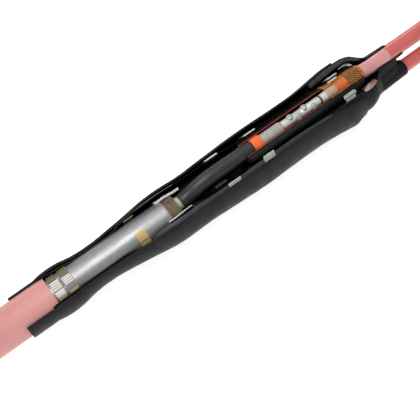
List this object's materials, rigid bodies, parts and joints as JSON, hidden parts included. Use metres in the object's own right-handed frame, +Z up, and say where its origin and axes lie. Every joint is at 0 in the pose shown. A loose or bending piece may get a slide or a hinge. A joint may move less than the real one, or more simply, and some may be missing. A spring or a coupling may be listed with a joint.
{
  "type": "cable joint",
  "caption": "Transition joint from a lead-sheathed paper-insulated multi-core cable to single-core cables, its black covers cut open along the top to show cores, connectors and joint bodies.",
  "frame": {"origin": "middle of the bounding box's base: the joint's axis is 65.5 mm above it", "axes": "+X along the joint from the three-core cable towards the single-core cables, +Z up out of the window"},
  "size_m": [1.16, 0.139, 0.1185],
  "materials": {
    "black_sleeve": "satin black",
    "black_rubber": "satin black",
    "black_tube": "satin black",
    "white_film": "matt",
    "pink_oversheath": "satin",
    "lead": "dull lead grey",
    "brown_paper": "oiled paper",
    "filler": "jute and oiled paper",
    "beige_tape": "matt",
    "khaki_spring": "dull olive gold",
    "gold_spring": "polished gold",
    "tinned_braid": "tinned, ribbed",
    "pale_band": "matt",
    "bolt_metal": "satin",
    "orange_mastic": "satin",
    "conductor": "stranded copper",
    "grey_paper": "matt",
    "connector_metal": "bright",
    "white_insulation": "satin white",
    "tan_tube": "satin",
    "copper_mesh": "woven copper",
    "red_liner": "satin",
    "pink_mastic": "satin",
    "red_jacket": "satin"
  },
  "bodies": {
    "root": {"outer_sleeve": "black_sleeve", "inner_sleeve": "black_sleeve", "outlet_breakout": "black_rubber", "outlet_wrap": "white_film", "three_core_oversheath": "pink_oversheath", "lead_sheath": "lead", "belt_paper": "brown_paper", "core_filler": "filler", "crotch_filler": "filler", "crotch_screen": "white_film", "core_ties": "beige_tape", "sheath_spring_1": "khaki_spring", "sheath_spring_2": "khaki_spring", "sheath_spring_3": "gold_spring", "earth_braid": "tinned_braid", "inner_band": "pale_band", "outer_bands": "pale_band", "shear_bolts": "bolt_metal", "left_mastics": "orange_mastic", "right_mastics": "orange_mastic", "paper_conductor_a": "conductor", "paper_insulation_a": "grey_paper", "core_tube_a": "black_tube", "connector_a": "connector_metal", "single_conductor_a": "conductor", "single_insulation_a": "white_insulation", "screen_wires_a": "conductor", "stress_tube_a": "tan_tube", "copper_mesh_a": "copper_mesh", "body_liner_a": "red_liner", "body_tube_a": "black_tube", "finger_mastic_a": "pink_mastic", "jacket_a": "red_jacket", "paper_conductor_b": "conductor", "paper_insulation_b": "grey_paper", "core_tube_b": "black_tube", "connector_b": "connector_metal", "single_conductor_b": "conductor", "single_insulation_b": "white_insulation", "screen_wires_b": "conductor", "stress_tube_b": "tan_tube", "copper_mesh_b": "copper_mesh", "body_liner_b": "red_liner", "body_tube_b": "black_tube", "finger_mastic_b": "pink_mastic", "jacket_b": "red_jacket", "paper_conductor_c": "conductor", "paper_insulation_c": "grey_paper", "core_tube_c": "black_tube", "connector_c": "connector_metal", "single_conductor_c": "conductor", "single_insulation_c": "white_insulation", "screen_wires_c": "conductor", "stress_tube_c": "tan_tube", "copper_mesh_c": "copper_mesh", "body_liner_c": "red_liner", "body_tube_c": "black_tube", "finger_mastic_c": "pink_mastic", "jacket_c": "red_jacket"}
  },
  "joints": []
}
